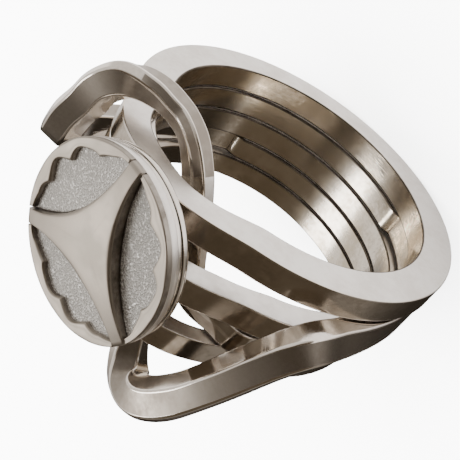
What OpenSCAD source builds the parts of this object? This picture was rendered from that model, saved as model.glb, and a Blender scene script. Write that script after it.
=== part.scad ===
// Five-band interlocking puzzle ring with a round signet medallion.
// The finger goes through along Y, and the medallion faces up along Z.

/* [Ring] */
// Inside diameter where the finger goes
bore_d = 20; // [15:0.25:23]
// Wall of a band, from the finger to the outside
wall = 2.44; // [1.6:0.02:3]
// Distance from one band to the next across the ring
pitch = 2; // [1.4:0.05:2.6]
// Gap left between neighbouring bands
band_gap = 0.15; // [0.05:0.01:0.3]

/* [Head arch] */
// Rise of the outside of a hoop under the medallion
arch_out = 1.35; // [0.8:0.05:2]
// Rise of the inside of a hoop, which lets a crossing bow through
arch_in = 1.9; // [1.2:0.05:2.2]
// Half angle of the arch, from its middle to the round hoop
arch_half = 42; // [34:1:44]
// Half angle of the level top of the arch
arch_flat = 8; // [0:1:16]
// Angle that the arches of the two end bands are set off the middle
arch_shift = 8; // [0:1:12]
// Angle where the inside of the signet band's arch ends on the +X side
arch_reach = 47; // [42:1:50]

/* [Near side] */
// How far the outside of the signet band is cut back on the +X side
near_third = 0.6; // [0:0.1:1]
// How far the outside of the fourth band is cut back there
near_fourth = 1.1; // [0:0.1:1.4]
// How far the outside of the bottom band is cut back there
near_bottom = 1.6; // [0:0.1:1.7]

/* [Medallion] */
// Diameter of the medallion
disc_d = 12.06; // [9:0.1:15]
// Height of its rim above the finger's centre
rim_z = 15.98; // [15:0.02:18]
// Thickness of the bezel disc under the plate
bezel_t = 0.8; // [0.4:0.05:1.4]
// Thickness of the plate below the relief
plate_t = 0.55; // [0.3:0.05:1]
// Height of the relief at the rim
relief_h = 0.38; // [0.2:0.02:0.7]
// Extra height of the three-pointed figure at its middle
dome_h = 0.5; // [0:0.05:0.8]
// Half width of the figure across its waist
waist = 2.04; // [1.2:0.02:3]
// Width of the border at the rim of each field
border_w = 0.85; // [0.4:0.05:1.4]
// Depth of the waves on the border's inner edge
wave_h = 0.26; // [0:0.02:0.5]

/* [Hidden] */
$fn = 96;
bore_r = bore_d / 2;
hoop_r = bore_r + wall;
band_w = pitch - band_gap;
disc_r = disc_d / 2;
seam = 0.07;
dip = 0.1;
plate_z = rim_z - relief_h;
bezel_z = plate_z - plate_t - seam;
foot_z = bezel_z - bezel_t;
scoop_at = 11.7;
scoop_r = scoop_at - waist;

// Share of the arch's rise left at an angle from the arch's middle.
function fade(d) =
    abs(d) <= arch_flat ? 1
    : abs(d) >= arch_half ? 0
    : pow(cos(90 * (abs(d) - arch_flat) / (arch_half - arch_flat)), 2);

// Outline of the arch in the XZ plane, closed through the finger's centre. Its
// ends dip under the round hoop so that the two outlines cross cleanly.
function arch_outline(r, rise, mid, near = 0) = concat(
    [[0, 0]],
    [for (d = [-arch_half : 2 : arch_half])
        (r - dip + (rise + dip) * fade(d) - near * max(0, sin(d + mid)))
            * [sin(d + mid), cos(d + mid)]]);

// The inside of the signet band's arch runs out more slowly on the +X side.
reach_outline = concat(
    [[0, 0]],
    [for (k = [0 : 20])
        let (a = arch_flat + (arch_reach - arch_flat) * k / 20)
        (bore_r - dip + (arch_in + dip) * pow(1 - k / 20, 1.15)) * [sin(a), cos(a)]]);

// Extrudes an XZ outline along Y, centred on a band's place.
module across(place, w) {
    translate([0, place * pitch, 0])
        rotate([90, 0, 0])
            linear_extrude(height = w, center = true) children();
}

// The outside of a hoop, cut back on the +X side.
module disc(near) {
    intersection() {
        circle(r = hoop_r);
        translate([-near, 0]) circle(r = hoop_r);
    }
}

// A closed hoop, raised on the inside and outside under the medallion.
module hoop(place, mid, near) {
    difference() {
        union() {
            across(place, band_w) disc(near);
            across(place, band_w) polygon(arch_outline(hoop_r, arch_out, mid, near));
        }
        across(place, pitch) circle(r = bore_r);
        across(place, pitch) polygon(arch_outline(bore_r, arch_in, mid));
    }
}

// Bow rows: angle from the head, place across the ring in pitches, outer and
// inner rise from the plain band, share of the bow's bevel and roll in degrees.
deep_bow = [
    [161, 1, -0.03, 0.6, 0, 0], [155, 1, 0, 0.6, 0, 0], [130, 1, 0, 0.6, 0, 0],
    [110, 1, -0.08, 0.6, 0, 0], [96, 1, -0.1, 0.6, 0.1, 0], [84, 1, 0.34, 0.8, 0.4, 0],
    [72, 1, 1.02, 1.4, 0.7, 0], [62, 1.02, 1.9, 2.25, 1, 0], [54, 1, 2.9, 3.05, 1, 0],
    [47, 0.35, 3.45, 3.65, 1, 0], [40, -1.55, 3.35, 3.4, 1, 0], [34, -3.25, 2.95, 3, 1, 0],
    [28, -4.35, 2.15, 2.2, 1, 0], [22, -4.72, 0.8, 0.9, 1, 0], [16, -4.25, -0.45, 0.15, 0.8, 0],
    [10, -3.12, -1.35, 0.02, 0.4, 0], [3, -1.9, -1.4, 0, 0, 0], [-5, -0.85, -1.4, 0, 0, 0],
    [-12, 0.2, -1.4, 0, 0, 0], [-18, 0.8, -1.4, 0, 0, 0], [-25, 1, -1.4, 0, 0, 0],
    [-34, 1, -1.05, 0, 0, 0], [-44, 1, -0.04, 0, 0, 0], [-48, 1, -0.04, 0.04, 0, 0]];
shallow_bow = [
    [133, 1, -0.03, 0.6, 0, 0], [127, 1, 0, 0.6, 0, 0], [118, 1, 0, 0.6, 0, 0],
    [108, 1, 0, 0.6, 0, 0], [96, 1, 0.05, 0.65, 0, 0], [84, 1, 0.3, 0.9, 0.2, 0],
    [72, 1, 1.2, 1.7, 0.6, 2], [62, 1, 2.4, 2.8, 1, 10], [54, 1, 3.3, 3.7, 1, 22],
    [47, 0.95, 3.85, 4.1, 1, 32], [42, 0.45, 4.05, 4.2, 1, 36], [38, -0.7, 4, 4.1, 1, 34],
    [34.5, -1.6, 3.65, 3.85, 1, 26], [31.5, -2.5, 3.35, 3.8, 1, 14],
    [28, -3.25, 2.25, 3.05, 1, 4], [23, -3.4, 0.6, 1.5, 1, 0], [17, -3.3, -0.5, 0.55, 0.9, 0],
    [12, -3.2, -0.95, 0.25, 0.7, 0], [7, -3, -1.2, 0.05, 0.4, 0], [2, -2.65, -1.38, 0, 0.1, 0],
    [-2, -2.25, -1.4, 0, 0, 0], [-8, -1.36, -1.4, 0, 0, 0], [-14, -0.2, -1.4, 0, 0, 0],
    [-19, 0.65, -1.4, 0, 0, 0], [-25, 1, -1.4, 0, 0, 0], [-34, 1, -1.05, 0, 0, 0],
    [-44, 1, -0.04, 0, 0, 0], [-48, 1, -0.04, 0.04, 0, 0]];
steps = 4;

function spline(a, b, c, d, t) =
    b + 0.5 * t * (c - a + t * (2 * a - 5 * b + 4 * c - d + t * (3 * (b - c) + d - a)));

function bow_row(rows, i) =
    let (k = floor(i / steps), t = i / steps - k, n = len(rows) - 1,
         a = rows[max(k - 1, 0)], b = rows[k], c = rows[min(k + 1, n)], d = rows[min(k + 2, n)])
    [for (j = [0 : 5]) spline(a[j], b[j], c[j], d[j], t)];

function out_r(row) = hoop_r + row[2];
function in_r(row) = bore_r + row[3];
function bow_point(row) =
    let (r = (out_r(row) + in_r(row)) / 2) [r * sin(row[0]), row[1] * pitch, r * cos(row[0])];
function unit(v) = v / norm(v);

// Extra half width where the bow stands clear of the other bands.
function swell(row) = 0.12 * max(0, min(1, (abs(row[1]) - 2.6) / 0.8));

// Five-cornered section: a flat inner face, two sides and a ridged outer face.
function bow_section(rows, i, last) =
    let (row = bow_row(rows, i), p = bow_point(row),
         t = unit(bow_point(bow_row(rows, min(i + 1, last))) - bow_point(bow_row(rows, max(i - 1, 0)))),
         out = [sin(row[0]), 0, cos(row[0])],
         up = unit(out - (out * t) * t), side = cross(t, up), roll = row[5],
         v = cos(roll) * up + sin(roll) * side, u = cos(roll) * side - sin(roll) * up,
         h = (out_r(row) - in_r(row)) / 2,
         s = row[4], w = band_w / 2 - (i == 0 || i == last ? 0.04 : 0.005) + swell(row))
    [p - w * u - h * v, p + w * u - h * v, p + w * u + (h - 0.85 * s) * v,
     p - 0.4 * s * w * u + (h + 0.08 * s) * v, p - w * u + (h - 0.25 * s) * v];

module bow(rows) {
    last = (len(rows) - 1) * steps;
    rings = [for (i = [0 : last]) bow_section(rows, i, last)];
    polyhedron(
        points = [for (r = rings) each r],
        faces = concat(
            [[4, 3, 2, 1, 0]],
            [for (i = [0 : last - 1], j = [0 : 4])
                let (a = i * 5 + j, b = i * 5 + (j + 1) % 5) each [[a, b, a + 5], [b, b + 5, a + 5]]],
            [[for (j = [0 : 4]) last * 5 + j]]),
        convexity = 6);
}

// A plain arc of hoop round the palm side, closed by a bow over the head.
module bow_band(rows, start, end, near) {
    across(1, band_w)
        difference() {
            disc(-near);
            circle(r = bore_r);
            polygon(concat([[0, 0]],
                [for (k = [0 : 12]) let (a = end + (start - end) * k / 12) 22 * [sin(a), cos(a)]]));
        }
    bow(rows);
}

module border_face(a) {
    intersection() {
        difference() {
            circle(r = disc_r);
            polygon([for (k = [0 : 2 : 358])
                (disc_r - border_w - wave_h * (1 - 2 * abs(sin(6 * (k - a))))) * [cos(k), sin(k)]]);
        }
        translate(scoop_at * [cos(a), sin(a)]) circle(r = scoop_r - 0.1);
    }
}

module rim_border(a) {
    color("Gainsboro") translate([0, 0, plate_z]) linear_extrude(height = relief_h) border_face(a);
}

module top_band() { color("Silver") hoop(2, -arch_shift, 0); }
module second_band() { color("SteelBlue") bow_band(deep_bow, 155, -41, 0); }

module signet_band() {
    color("DarkKhaki")
        difference() {
            hoop(0, 0, near_third);
            across(0, pitch) polygon(reach_outline);
        }
}

module fourth_band() {
    color("IndianRed") rotate([0, 0, 180]) bow_band(shallow_bow, 127, -41, near_fourth);
}

module bottom_band() { color("DarkGray") hoop(-2, arch_shift, near_bottom); }

module medallion_foot() {
    color("Peru")
        across(0, band_w)
            difference() {
                translate([-3, hoop_r]) square([6, foot_z - hoop_r]);
                polygon(arch_outline(hoop_r, arch_out, 0, near_third));
            }
}

module medallion_bezel() {
    color("Gray") translate([0, 0, foot_z]) cylinder(r = disc_r - 0.12, h = bezel_t + seam);
}

module medallion_plate() {
    color("LightGray") translate([0, 0, bezel_z + seam]) cylinder(r = disc_r, h = plate_t);
}

// Three-pointed figure: a shallow dome with three round scoops taken out.
module medallion_figure() {
    foot_r = disc_r + 0.2;
    ball_r = (foot_r * foot_r + dome_h * dome_h) / (2 * dome_h);
    color("White")
        translate([0, 0, plate_z])
            difference() {
                rotate_extrude()
                    intersection() {
                        square([disc_r, relief_h + dome_h + 1]);
                        translate([0, relief_h + dome_h - ball_r]) circle(r = ball_r, $fn = 720);
                    }
                for (a = [30, 150, 270])
                    translate([scoop_at * cos(a), scoop_at * sin(a), -1]) cylinder(r = scoop_r, h = 4);
            }
}

module rim_border_a() { rim_border(30); }
module rim_border_b() { rim_border(150); }
module rim_border_c() { rim_border(270); }

top_band();
second_band();
signet_band();
fourth_band();
bottom_band();
medallion_foot();
medallion_bezel();
medallion_plate();
medallion_figure();
rim_border_a();
rim_border_b();
rim_border_c();
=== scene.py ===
import bpy
from math import acos, cos, degrees, pi, radians, sin, sqrt
from mathutils import Matrix, Vector


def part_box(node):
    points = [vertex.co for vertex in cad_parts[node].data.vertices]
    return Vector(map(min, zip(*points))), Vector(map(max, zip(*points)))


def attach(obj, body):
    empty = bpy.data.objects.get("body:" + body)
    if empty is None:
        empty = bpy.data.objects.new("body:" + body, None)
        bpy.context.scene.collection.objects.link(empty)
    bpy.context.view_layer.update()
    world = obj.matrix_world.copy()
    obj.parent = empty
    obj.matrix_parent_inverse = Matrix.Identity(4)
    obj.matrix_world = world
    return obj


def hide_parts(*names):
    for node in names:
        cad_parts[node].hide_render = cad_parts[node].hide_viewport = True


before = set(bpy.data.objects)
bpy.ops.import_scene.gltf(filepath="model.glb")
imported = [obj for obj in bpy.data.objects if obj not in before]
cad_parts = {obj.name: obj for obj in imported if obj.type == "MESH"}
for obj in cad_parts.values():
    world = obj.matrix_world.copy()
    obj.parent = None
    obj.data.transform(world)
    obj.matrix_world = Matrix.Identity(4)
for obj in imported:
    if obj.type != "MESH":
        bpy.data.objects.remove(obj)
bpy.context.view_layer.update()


MM = 0.001

# The ring's main sizes, in mm, as in the CAD
BORE, HOOP, PITCH, HALF = 10.0, 12.44, 2.0, 0.925
DISC = (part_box("medallion_plate")[1].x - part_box("medallion_plate")[0].x) / 2 / MM
RIM_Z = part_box("rim_border_a")[1].z / MM
PLATE_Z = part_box("medallion_plate")[1].z / MM
FOOT_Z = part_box("medallion_bezel")[0].z / MM

# The medallion's three fields: their directions in degrees, and their round hollows' place and radius
FIELDS = (30, 150, 270)
SCOOP_AT, SCOOP_R = 11.7, 9.66


# ---------------------------------------------------------------- materials
def nodes_of(m):
    m.use_nodes = True
    return m.node_tree.nodes, m.node_tree.links


def math_node(nt, op, a, b=None):
    n = nt.nodes.new("ShaderNodeMath")
    n.operation = op
    for i, v in enumerate((a, b)):
        if v is None:
            continue
        if isinstance(v, (int, float)):
            n.inputs[i].default_value = v
        else:
            nt.links.new(v, n.inputs[i])
    return n.outputs[0]


def smooth(nt, v, lo, hi, out_lo=0.0, out_hi=1.0):
    n = nt.nodes.new("ShaderNodeMapRange")
    n.interpolation_type = "SMOOTHSTEP"
    nt.links.new(v, n.inputs[0])
    for i, x in zip((1, 2, 3, 4), (lo, hi, out_lo, out_hi)):
        n.inputs[i].default_value = x
    return n.outputs[0]


def noise(nt, vec, scale, detail, rough):
    n = nt.nodes.new("ShaderNodeTexNoise")
    nt.links.new(vec, n.inputs["Vector"])
    n.inputs["Scale"].default_value = scale
    n.inputs["Detail"].default_value = detail
    n.inputs["Roughness"].default_value = rough
    return n.outputs[0]


def stretch(nt, vec, s):
    n = nt.nodes.new("ShaderNodeMapping")
    n.inputs["Scale"].default_value = s
    nt.links.new(vec, n.inputs["Vector"])
    return n.outputs[0]


def mix(nt, fac, a, b):
    n = nt.nodes.new("ShaderNodeMix")
    n.data_type = "RGBA"
    nt.links.new(fac, n.inputs[0])
    for i, v in ((6, a), (7, b)):
        if isinstance(v, tuple):
            n.inputs[i].default_value = (*v, 1)
        else:
            nt.links.new(v, n.inputs[i])
    return n.outputs[2]


def bump(nt, h, strength, dist, normal=None):
    n = nt.nodes.new("ShaderNodeBump")
    n.inputs["Strength"].default_value = strength
    n.inputs["Distance"].default_value = dist
    nt.links.new(h, n.inputs["Height"])
    if normal:
        nt.links.new(normal, n.inputs["Normal"])
    return n.outputs[0]


def metal(name, tone, dark, lo, hi, grain=None, grain_depth=0.0):
    """Metal whose tone, gloss and surface change a little from place to place."""
    worn = 0.35
    m = bpy.data.materials.new(name)
    n, l = nodes_of(m)
    nt = m.node_tree
    p = n["Principled BSDF"]
    p.inputs["Metallic"].default_value = 1
    obj = n.new("ShaderNodeTexCoord").outputs["Object"]
    cloud = noise(nt, obj, 420, 4, 0.55)
    fine = noise(nt, obj, 2600, 4, 0.6)
    blend = math_node(nt, "ADD", math_node(nt, "MULTIPLY", cloud, 1 - worn),
                      math_node(nt, "MULTIPLY", fine, worn))
    l.new(mix(nt, smooth(nt, blend, 0.36, 0.62), dark, tone), p.inputs["Base Color"])
    l.new(smooth(nt, blend, 0.34, 0.66, hi, lo), p.inputs["Roughness"])
    nrm = bump(nt, cloud, 0.25, 0.00002)
    if grain:
        nrm = bump(nt, noise(nt, stretch(nt, obj, grain), 1, 3, 0.6), 0.5, grain_depth, nrm)
    scratch = noise(nt, stretch(nt, obj, (900, 14000, 900)), 1, 2, 0.4)
    nrm = bump(nt, smooth(nt, scratch, 0.60, 0.72), 0.12, 0.000008, nrm)
    l.new(nrm, p.inputs["Normal"])
    return m


polished = metal("polished_metal", (0.86, 0.81, 0.755), (0.74, 0.68, 0.61), 0.07, 0.17)
# Painted shade: a darker copy of the polished metal, put on the outer faces.
shaded_outside = metal("shaded_polished_outside", (0.66, 0.60, 0.53), (0.50, 0.44, 0.37), 0.08, 0.2)
bore = metal("worn_bore", (0.90, 0.83, 0.73), (0.62, 0.54, 0.43), 0.12, 0.26, (500, 5000, 500), 0.000008)
# Painted shade: a dark colour for the bands' inner edges, standing for the shadow in the gaps between
# the bands.
seam_shade = metal("dark_seam_painted_shade", (0.16, 0.135, 0.11), (0.08, 0.065, 0.05), 0.4, 0.6)
satin = metal("satin_side", (0.90, 0.865, 0.825), (0.80, 0.755, 0.71), 0.30, 0.42,
              (5200, 900, 5200), 0.000012)
# Painted shade: a darker copy of the satin metal, put on the bows' bevels and on one side face.
shaded_facet = metal("shaded_satin_facet", (0.36, 0.325, 0.285), (0.285, 0.25, 0.215), 0.30, 0.42,
              (700, 3600, 3600), 0.00001)


# ---------------------------------------------------------------- mesh tools
def build(name, verts, faces, mats, index, body, nodes, normals=None):
    me = bpy.data.meshes.new(name)
    me.from_pydata([Vector(v) * MM for v in verts], [], faces)
    for m in mats:
        me.materials.append(m)
    me.polygons.foreach_set("material_index", index)
    me.polygons.foreach_set("use_smooth", [True] * len(faces))
    me.update()
    if normals:
        me.normals_split_custom_set_from_vertices(normals)
    o = bpy.data.objects.new(name, me)
    bpy.context.scene.collection.objects.link(o)
    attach(o, body)
    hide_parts(*nodes)
    return o


def corner_cut(p, q, r, size):
    """Three points that round corner q between p and r."""
    a, b = (p - q), (r - q)
    a = a.normalized() * min(size, a.length * 0.4)
    b = b.normalized() * min(size, b.length * 0.4)
    return [q + a, q + (a + b) * 0.26, q + b]


def sweep(rings, corners, tags, size):
    """A closed tube through rings of corner points; tags gives each flat's material,
    then the material of the two inner edges.
    Each flat keeps its own normal, and only the narrow rounded corners blend."""
    m, n = corners, len(rings)
    verts, faces, index, normals = [], [], [], []
    for i, ring in enumerate(rings):
        mid = sum(ring, Vector()) / m
        flat = []
        for j in range(m):
            p, q = ring[j], ring[(j + 1) % m]
            along = sum((rings[(i + 1) % n][x] - rings[i - 1][x] for x in (j, (j + 1) % m)), Vector())
            f = (q - p).cross(along).normalized()
            flat.append(f if f.dot((p + q) / 2 - mid) > 0 else -f)
        for j in range(m):
            verts += corner_cut(ring[j - 1], ring[j], ring[(j + 1) % m], size)
            normals += [flat[j - 1], (flat[j - 1] + flat[j]).normalized(), flat[j]]
    k = m * 3
    for i in range(n):
        for j in range(k):
            a, b = i * k + j, i * k + (j + 1) % k
            c, d = ((i + 1) % n) * k + (j + 1) % k, ((i + 1) % n) * k + j
            faces.append((a, b, c, d))
            index.append(tags(i)[j // 3] if j % 3 == 2 else tags(i)[m] if j // 3 < 2 else 0)
    facing = 0
    for face in faces[2::3]:
        a, b, c, _ = (verts[x] for x in face)
        facing += (b - a).cross(c - b).dot(normals[face[0]])
    if facing < 0:
        faces = [face[::-1] for face in faces]
    return verts, faces, index, normals


def relax(rings, passes, keep=lambda i: False):
    """Evens out each corner line along the tube."""
    n = len(rings)
    for _ in range(passes):
        new = []
        for i in range(n):
            a, b, c = rings[i - 1], rings[i], rings[(i + 1) % n]
            new.append(b if keep(i) else [(p + q * 2 + r) / 4 for p, q, r in zip(a, b, c)])
        rings = new
    return rings


# ---------------------------------------------------------------- hoops
# The arch at the head: full height within ARCH_TOP degrees of its middle, gone at ARCH_END
ARCH_TOP, ARCH_END = 8, 42
ARCH_OUT, ARCH_IN, SUNK = 1.45, 2.0, 0.1


def fade(d):
    """Share of the arch's height at d degrees from its middle."""
    d = abs(d)
    if d <= ARCH_TOP:
        return 1
    return 0 if d >= ARCH_END else cos(pi / 2 * (d - ARCH_TOP) / (ARCH_END - ARCH_TOP)) ** 2


def outer(a, mid, near):
    """Outer radius at a degrees; near is the cut on the +X side."""
    s = sin(radians(a))
    r = min(HOOP, -near * s + sqrt(HOOP ** 2 - near ** 2 * (1 - s * s)))
    if abs(a - mid) < ARCH_END:
        r = max(r, HOOP - SUNK + ARCH_OUT * fade(a - mid) - near * max(0, s))
    return r


def inner(a, mid, reach):
    """Inner radius at a degrees; reach is where a long arch runs out."""
    r = BORE
    if abs(a - mid) < ARCH_END:
        r = max(r, BORE - SUNK + ARCH_IN * fade(a - mid))
    if reach and ARCH_TOP < a < reach:
        r = max(r, BORE - SUNK + ARCH_IN * (1 - (a - ARCH_TOP) / (reach - ARCH_TOP)) ** 1.15)
    return r


def hoop(name, y, mid, near, reach, body):
    """A closed flat-sided band at y."""
    n = 288
    angles = [-180 + 360 * i / n for i in range(n)]
    ro = [outer(a, mid, near) for a in angles]
    ri = [inner(a, mid, reach) for a in angles]
    for _ in range(3):
        ro = [(ro[i - 1] + 2 * ro[i] + ro[(i + 1) % n]) / 4 for i in range(n)]
        ri = [(ri[i - 1] + 2 * ri[i] + ri[(i + 1) % n]) / 4 for i in range(n)]
    rings = []
    for a, o, i in zip(angles, ro, ri):
        d = Vector((sin(radians(a)), 0, cos(radians(a))))
        side = Vector((0, HALF, 0))
        at = Vector((0, y, 0))
        rings.append([d * i + at - side, d * i + at + side, d * o + at + side, d * o + at - side])
    # Painted shade: the outer faces take the darker polished copy and the two inner edges the dark seam
    # colour.
    v, f, t, nrm = sweep(rings, 4, lambda i: (2, 1, 3, 1, 4), 0.1)
    return build(name, v, f, [polished, satin, bore, shaded_outside, seam_shade], t, body, [body + "_band"],
                 nrm)


hoop("top_hoop", 2 * PITCH, -8, 0, 0, "top")
hoop("signet_hoop", 0, 0, 0.6, 47, "signet")
hoop("bottom_hoop", -2 * PITCH, 8, 1.6, 0, "bottom")

# ---------------------------------------------------------------- bows
# angle from the head, place in pitches, outer and inner rise, share of the bevel, roll in degrees
DEEP = [(155, 1, 0, 0.6, 0, 0), (130, 1, 0, 0.6, 0, 0), (110, 1, -0.08, 0.6, 0, 0),
        (96, 1, -0.1, 0.6, 0.1, 0), (84, 1, 0.34, 0.8, 0.4, 0), (72, 1, 1.02, 1.4, 0.7, 0),
        (62, 1.02, 1.9, 2.25, 1, 0), (54, 1, 2.9, 3.05, 1, 0), (47, 0.35, 3.45, 3.65, 1, 0),
        (40, -1.55, 3.35, 3.4, 1, 0), (34, -3.25, 2.95, 3, 1, 0), (28, -4.35, 2.15, 2.2, 1, 0),
        (22, -4.72, 0.8, 0.9, 1, 0), (16, -4.25, -0.45, 0.15, 0.8, 0),
        (10, -3.12, -1.35, 0.02, 0.4, 0), (3, -1.9, -1.4, 0, 0, 0), (-5, -0.85, -1.4, 0, 0, 0),
        (-12, 0.2, -1.4, 0, 0, 0), (-18, 0.8, -1.4, 0, 0, 0), (-25, 1, -1.4, 0, 0, 0),
        (-34, 1, -1.05, 0, 0, 0), (-44, 1, -0.04, 0, 0, 0)]
SHALLOW = [(127, 1, 0, 0.6, 0, 0), (118, 1, 0, 0.6, 0, 0), (108, 1, 0, 0.6, 0, 0),
           (96, 1, 0.05, 0.65, 0, 0), (84, 1, 0.3, 0.9, 0.2, 0), (72, 1, 1.2, 1.7, 0.6, 2),
           (62, 1, 2.4, 2.8, 1, 10), (54, 1, 3.3, 3.7, 1, 22), (47, 0.95, 3.85, 4.1, 1, 32),
           (42, 0.45, 4.05, 4.2, 1, 36), (38, -0.7, 4, 4.1, 1, 34),
           (34.5, -1.6, 3.65, 3.85, 1, 26), (31.5, -2.5, 3.35, 3.8, 1, 14),
           (28, -3.25, 2.25, 3.05, 1, 4), (23, -3.4, 0.6, 1.5, 1, 0),
           (17, -3.3, -0.5, 0.55, 0.9, 0), (12, -3.2, -0.95, 0.25, 0.7, 0),
           (7, -3, -1.2, 0.05, 0.4, 0), (2, -2.65, -1.38, 0, 0.1, 0), (-2, -2.25, -1.4, 0, 0, 0),
           (-8, -1.36, -1.4, 0, 0, 0), (-14, -0.2, -1.4, 0, 0, 0), (-19, 0.65, -1.4, 0, 0, 0),
           (-25, 1, -1.4, 0, 0, 0), (-34, 1, -1.05, 0, 0, 0), (-44, 1, -0.04, 0, 0, 0)]


def spline(a, b, c, d, t):
    return b + 0.5 * t * (c - a + t * (2 * a - 5 * b + 4 * c - d + t * (3 * (b - c) + d - a)))


def bow_path(rows, near):
    """Rows right round the band: the bow over the head, then the plain arc."""
    steps, out, n = 10, [], len(rows) - 1
    for i in range(n * steps + 1):
        k, t = divmod(i, steps)
        a, b, c, d = (rows[min(max(k + j, 0), n)] for j in (-1, 0, 1, 2))
        out.append(tuple(spline(a[j], b[j], c[j], d[j], t / steps) for j in range(6)))
    start = rows[0][0]
    a = rows[-1][0] - 2
    while a > start - 360 + 1.2:
        s = -sin(radians(a))
        cut = -near * s + sqrt(HOOP ** 2 - near ** 2 * (1 - s * s)) - HOOP if s > 0 else 0
        out.append((a, 1, min(0, cut), 0, 0, 0))
        a -= 1.5
    e = start - 360
    return out + [(e + 0.9, 1, 0, 0, 0, 0), (e + 0.45, 1, 0, 0.03, 0, 0), (e + 0.3, 1, 0, 0.55, 0, 0)]


def bow(name, rows, turn, near, body, node):
    """A bowed band: five flats, rolled about its path, with a ridge where it bows."""
    path = bow_path(rows, near)
    n = len(path)
    mids = []
    for a, place, o, i, s, roll in path:
        r = (HOOP + o + BORE + i) / 2
        mids.append(Vector((r * sin(radians(a)), place * PITCH, r * cos(radians(a)))))
    mids = [(mids[i - 1] + mids[i] * 2 + mids[(i + 1) % n]) / 4 for i in range(n)]
    rings = []
    for k, (a, place, o, i, s, roll) in enumerate(path):
        t = (mids[(k + 1) % n] - mids[k - 1]).normalized()
        up = Vector((sin(radians(a)), 0, cos(radians(a))))
        up = (up - t * up.dot(t)).normalized()
        side, c, q = t.cross(up), cos(radians(roll)), sin(radians(roll))
        v, u = up * c + side * q, side * c - up * q
        h, p = (HOOP + o - BORE - i) / 2, mids[k]
        w = HALF + 0.12 * max(0, min(1, (abs(place) - 2.6) / 0.8))
        # two inner corners, the foot of the bevel, the ridge, and the other outer corner
        rings.append([p - u * w - v * h, p + u * w - v * h, p + u * w + v * (h - 0.85 * s),
                      p - u * (0.4 * s * w) + v * (h + 0.08 * s), p - u * w + v * (h - 0.25 * s)])
    rings = relax(rings, 5, lambda i: i < 2 or i > n - 5)
    if turn:
        rings = [[Vector((-p.x, -p.y, p.z)) for p in ring] for ring in rings]
    # Painted shade: the side face takes the darker satin copy on the turned bow and the plain satin on
    # the other.
    far = 2 if turn else 1

    def tags(i):
        angle, bevel = path[i][0], path[i][4]
        # Painted shade: the bevel, and below 26 degrees the flat after it, take the darker satin copy;
        # on the plain arc the outer faces take the darker polished copy and the inner edges the dark
        # seam colour.
        return (0, 0, 2, 2 if angle < 26 else 0, far, 0) if bevel > 0.02 else (3, 1, 4, 4, 1, 5)

    v, f, t, nrm = sweep(rings, 5, tags, 0.14)
    return build(name, v, f, [polished, satin, shaded_facet, bore, shaded_outside, seam_shade], t, body, [node],
                 nrm)


bow("deep_bow", DEEP, False, 0, "second", "second_band")
bow("shallow_bow", SHALLOW, True, 1.1, "fourth", "fourth_band")


# ---------------------------------------------------------------- medallion
def tone_material(name, ground):
    """Satin medallion metal. Along the figure's edges the ground carries a dark band, painted shade in
    the groove as well as oxide; the ground is stippled.
    """
    m = bpy.data.materials.new(name)
    n, l = nodes_of(m)
    nt = m.node_tree
    p = n["Principled BSDF"]
    p.inputs["Metallic"].default_value = 1
    obj = n.new("ShaderNodeTexCoord").outputs["Object"]
    xyz = n.new("ShaderNodeSeparateXYZ")
    l.new(obj, xyz.inputs[0])
    x, y = xyz.outputs[0], xyz.outputs[1]
    edge = None
    for a in FIELDS:
        cx, cy = SCOOP_AT * cos(radians(a)) * MM, SCOOP_AT * sin(radians(a)) * MM
        dx, dy = math_node(nt, "SUBTRACT", x, cx), math_node(nt, "SUBTRACT", y, cy)
        r = math_node(nt, "SQRT", math_node(nt, "ADD", math_node(nt, "MULTIPLY", dx, dx),
                                            math_node(nt, "MULTIPLY", dy, dy)))
        g = math_node(nt, "ABSOLUTE", math_node(nt, "SUBTRACT", r, SCOOP_R * MM))
        edge = g if edge is None else math_node(nt, "MINIMUM", edge, g)
    cloud = noise(nt, obj, 520, 4, 0.55)
    grit = noise(nt, obj, 7600, 3, 0.65)
    if ground:
        cells = n.new("ShaderNodeTexVoronoi")
        cells.inputs["Scale"].default_value = 8800
        l.new(obj, cells.inputs["Vector"])
        pit = smooth(nt, math_node(nt, "ADD", math_node(nt, "MULTIPLY", cells.outputs["Distance"], 0.6),
                                   math_node(nt, "MULTIPLY", grit, 0.7)), 0.42, 0.95)
        # Painted shade: the stipple pits are coloured darker as well as bumped, and the ground between
        # them lighter.
        tone = mix(nt, pit, (0.52, 0.505, 0.48), (1.0, 0.985, 0.96))
        drift = math_node(nt, "MULTIPLY", math_node(nt, "SUBTRACT", cloud, 0.5), 0.0003)
        # Painted shade and oxide: a dark band on the ground along the figure's edges, for the shade in
        # the groove.
        groove_shade_and_oxide = math_node(nt, "ADD", edge, drift)
        tone = mix(nt, smooth(nt, groove_shade_and_oxide, 0.00001, 0.00016), (0.09, 0.075, 0.06), tone)
        rough, depth, dist = (0.46, 0.62), 0.9, 0.00006
    else:
        pit = grit
        tone = mix(nt, smooth(nt, cloud, 0.35, 0.65), (0.35, 0.312, 0.27), (0.41, 0.372, 0.325))
        rough, depth, dist = (0.40, 0.50), 0.35, 0.00001
    l.new(tone, p.inputs["Base Color"])
    l.new(smooth(nt, cloud, 0.35, 0.65, rough[0], rough[1]), p.inputs["Roughness"])
    l.new(bump(nt, pit, depth, dist), p.inputs["Normal"])
    return m


figure_metal = tone_material("satin_figure", False)
ground_metal = tone_material("stippled_ground", True)
oxide = metal("oxide", (0.10, 0.08, 0.06), (0.03, 0.024, 0.018), 0.4, 0.6)
# Painted shade: a darker copy of the satin figure metal for the upright walls of the relief.
shaded_wall = metal("shaded_relief_wall", (0.40, 0.365, 0.325), (0.20, 0.175, 0.15), 0.34, 0.5)


def hollow_radius(phi, r_hollow, far):
    """Distance from the middle to the hollow side, or far where there is none."""
    best = far
    for a in FIELDS:
        d = radians((phi - a + 180) % 360 - 180)
        q = r_hollow ** 2 - (SCOOP_AT * sin(d)) ** 2
        if q > 0 and cos(d) > 0:
            best = min(best, SCOOP_AT * cos(d) - sqrt(q))
    return best


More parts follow.
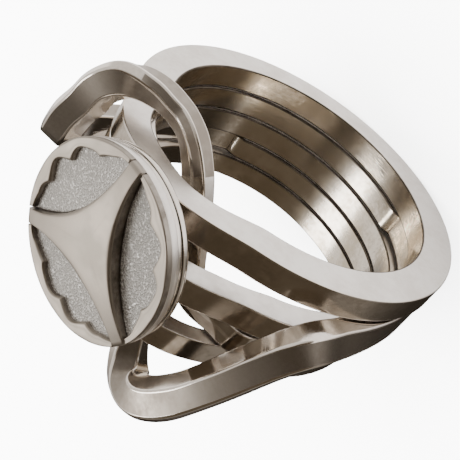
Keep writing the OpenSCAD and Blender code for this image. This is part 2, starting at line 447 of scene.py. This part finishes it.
def figure():
    """The three-pointed figure: a shallow dome between three round hollows."""
    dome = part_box("medallion_figure")[1].z / MM - RIM_Z
    n, rim = 720, DISC + 0.2
    ball = (rim * rim + dome * dome) / (2 * dome)
    # share of the way out, distance inside the edge, drop below the dome
    steps = [(0.25, 0, 0), (0.5, 0, 0), (0.7, 0, 0), (0.85, 0, 0), (1, 0.30, 0), (1, 0.16, 0.012),
             (1, 0.08, 0.04), (1, 0.03, 0.10), (1, 0, 0.20)]

    def top(r):
        return RIM_Z + dome - ball + sqrt(ball ** 2 - r * r)

    verts, faces = [Vector((0, 0, top(0)))], []
    for share, inset, dz in steps:
        for i in range(n):
            phi = 360 * i / n
            r = hollow_radius(phi, SCOOP_R, DISC)
            r = max(0.3, share * (r - inset if share == 1 else r - 0.3))
            verts.append(Vector((r * cos(radians(phi)), r * sin(radians(phi)), top(r) - dz)))
    for i in range(n):
        phi = 360 * i / n
        r = hollow_radius(phi, SCOOP_R, DISC)
        verts.append(Vector((r * cos(radians(phi)), r * sin(radians(phi)), PLATE_Z - 0.02)))
    for i in range(n):
        faces.append((0, 1 + i, 1 + (i + 1) % n))
    for k in range(len(steps)):
        for i in range(n):
            a, b = 1 + k * n + i, 1 + k * n + (i + 1) % n
            faces.append((a, a + n, b + n, b))
    # The upright wall round the figure takes the darker wall copy, as painted shade.
    index = [0] * (n * len(steps)) + [1] * n
    return build("figure", verts, faces, [figure_metal, shaded_wall], index, "signet", ["medallion_figure"])


def border(name, a, node):
    """One field's raised rim: a sculpted band with a wavy, cusped inner edge."""
    rs, stations = SCOOP_R - 0.12, 160
    z_top = RIM_Z - 0.005

    def reach(r):
        return degrees(acos((r * r + SCOOP_AT ** 2 - rs * rs) / (2 * r * SCOOP_AT)))

    verts, faces = [], []
    # share of the width from the inner edge, depth below the top (-1 is the foot)
    profile = [(0.0, -1), (0.0, 0.16), (0.05, 0.07), (0.14, 0.02), (0.35, 0.05), (0.62, 0.03),
               (0.86, 0), (0.97, 0.02), (1.0, 0.07), (1.0, -1)]
    for i in range(stations + 1):
        t = -1 + 2 * i / stations
        k = t * reach(DISC - 0.6)
        wide = 0.85 + 0.26 * (1 - 2 * abs(sin(radians(6 * k)))) + 0.07 * sin(radians(17 * k + 40))
        wide *= 1 - 0.55 * max(0, abs(t) - 0.8) / 0.2
        for rho, dz in profile:
            r = DISC - wide * (1 - rho)
            phi = radians(a + t * reach(r))
            z = PLATE_Z - 0.02 if dz < 0 else z_top - dz
            verts.append(Vector((r * cos(phi), r * sin(phi), z)))
    m = len(profile)
    for i in range(stations):
        for j in range(m - 1):
            q = i * m + j
            faces.append((q, q + m, q + m + 1, q + 1))
    faces.append(tuple(range(m)))
    faces.append(tuple(stations * m + j for j in reversed(range(m))))
    # The border's two upright walls take the darker wall copy, as painted shade.
    index = ([1] + [0] * (m - 3) + [1]) * stations + [0, 0]
    return build(name, verts, faces, [figure_metal, shaded_wall], index, "signet", [node])


def turned(name, profile, body, nodes, mats, tag, n=256):
    """A solid turned about Z from (radius, height) points."""
    verts, faces, index = [], [], []
    for r, z in profile:
        for i in range(n):
            p = 2 * pi * i / n
            verts.append(Vector((r * cos(p), r * sin(p), z)))
    for j in range(len(profile) - 1):
        for i in range(n):
            a, b = j * n + i, j * n + (i + 1) % n
            faces.append((a, b, b + n, a + n))
            index.append(tag(j))
    faces += [tuple(reversed(range(n))), tuple(range((len(profile) - 1) * n, len(profile) * n))]
    index += [tag(0), tag(len(profile) - 1)]
    o = build(name, verts, faces, mats, index, body, nodes)
    w = o.modifiers.new("normals", "WEIGHTED_NORMAL")
    w.weight = 70
    return o


figure()
for letter, a in zip("abc", FIELDS):
    border("border_" + letter, a, "rim_border_" + letter)
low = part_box("medallion_plate")[0].z / MM
turned("plate",
       [(DISC - 0.25, low), (DISC - 0.06, low), (DISC - 0.015, low + 0.02), (DISC, low + 0.07),
        (DISC, PLATE_Z - 0.01), (DISC - 0.01, PLATE_Z)],
       "signet", ["medallion_plate"], [satin, ground_metal],
       lambda j: 1 if j >= 5 else 0)
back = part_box("medallion_bezel")[1].x / MM
step = FOOT_Z + 0.42
turned("bezel",
       [(back - 0.1, FOOT_Z), (back - 0.02, FOOT_Z + 0.04), (back, FOOT_Z + 0.12), (back, step - 0.05),
        (back - 0.03, step), (back - 0.16, step + 0.01), (back - 0.17, step + 0.05),
        (back - 0.03, step + 0.07), (back, step + 0.12), (back, low - 0.08), (back - 0.04, low - 0.02),
        (back - 0.3, low - 0.01), (back - 0.3, low)],
       "signet", ["medallion_bezel"], [polished, oxide],
       lambda j: 1 if j in (4, 5, 6, 10, 11, 12) else 0)

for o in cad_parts.values():
    for s in o.material_slots:
        s.material = polished

# ---------------------------------------------------------------- stage
bpy.ops.mesh.primitive_plane_add(size=3, location=(0, 0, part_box("top_band")[0].z - 0.00003))
floor = bpy.context.object
floor.name = "floor"
fm = bpy.data.materials.new("floor_pale")
n, l = nodes_of(fm)
nt = fm.node_tree
p = n["Principled BSDF"]
p.inputs["Base Color"].default_value = (0.93, 0.93, 0.925, 1)
p.inputs["Roughness"].default_value = 0.9
pos = n.new("ShaderNodeNewGeometry").outputs["Position"]
sep = n.new("ShaderNodeSeparateXYZ")
l.new(pos, sep.inputs[0])
# Painted reflection: glossy rays see the floor glow, bright on one side and dim on the other, though it
# is no lamp; other rays see it plain pale
em = n.new("ShaderNodeEmission")
dim = mix(nt, smooth(nt, sep.outputs["X"], 0.01, 0.06), (0.03, 0.024, 0.018), (0.30, 0.27, 0.235))
lean = math_node(nt, "SUBTRACT", sep.outputs["Y"], math_node(nt, "MULTIPLY", sep.outputs["X"], 0.6))
l.new(mix(nt, smooth(nt, lean, -0.010, 0.012), dim, (1.75, 1.67, 1.60)), em.inputs["Color"])
sh = n.new("ShaderNodeMixShader")
l.new(n.new("ShaderNodeLightPath").outputs["Is Glossy Ray"], sh.inputs[0])
l.new(p.outputs[0], sh.inputs[1])
l.new(em.outputs[0], sh.inputs[2])
l.new(sh.outputs[0], n["Material Output"].inputs["Surface"])
fm.cycles.emission_sampling = "NONE"
floor.data.materials.append(fm)

world = bpy.data.worlds.new("studio")
bpy.context.scene.world = world
world.use_nodes = True
world.cycles.sampling_method = "NONE"
n, l = world.node_tree.nodes, world.node_tree.links
nt = world.node_tree
d = n.new("ShaderNodeTexCoord").outputs["Generated"]
sep = n.new("ShaderNodeSeparateXYZ")
l.new(d, sep.inputs[0])
across = math_node(nt, "ADD", math_node(nt, "MULTIPLY", sep.outputs["X"], -1.0),
                   math_node(nt, "MULTIPLY", sep.outputs["Y"], 0.25))
wave = math_node(nt, "MULTIPLY", math_node(nt, "SUBTRACT", noise(nt, d, 3, 2, 0.5), 0.5), 1.7)
lit = smooth(nt, math_node(nt, "ADD", across, wave), -0.25, 0.35)
look = mix(nt, lit, (0.11, 0.086, 0.06), (1.0, 0.95, 0.89))
room, white = n["Background"], n.new("ShaderNodeBackground")
l.new(look, room.inputs["Color"])
white.inputs["Color"].default_value = (1, 1, 1, 1)
white.inputs["Strength"].default_value = 12
sh = n.new("ShaderNodeMixShader")
l.new(n.new("ShaderNodeLightPath").outputs["Is Glossy Ray"], sh.inputs[0])
l.new(white.outputs[0], sh.inputs[1])
l.new(room.outputs[0], sh.inputs[2])
l.new(sh.outputs[0], n["World Output"].inputs["Surface"])

lamp = bpy.data.lights.new("key", "AREA")
lamp.energy = 0.5
lamp.size = 0.16
lamp.color = (1, 0.97, 0.93)
key = bpy.data.objects.new("key", lamp)
bpy.context.scene.collection.objects.link(key)
key.location = (-0.16, -0.22, 0.30)
key.rotation_euler = (-Vector(key.location)).to_track_quat("-Z", "Y").to_euler()

# The camera as fitted to the photograph
cam = bpy.data.cameras.new("camera")
eye = bpy.data.objects.new("camera", cam)
bpy.context.scene.collection.objects.link(eye)
turn = Matrix(((0.5822, -0.7202, 0.3774), (0.4867, 0.6805, 0.5478), (-0.6513, -0.1352, 0.7467)))
eye.matrix_world = Matrix.Translation(Vector((21.354, 29.476, 45.034)) * MM) @ turn.to_4x4()
cam.lens = 63.34
cam.sensor_width = 36
cam.clip_start = 0.001
cam.clip_end = 10
bpy.context.scene.camera = eye
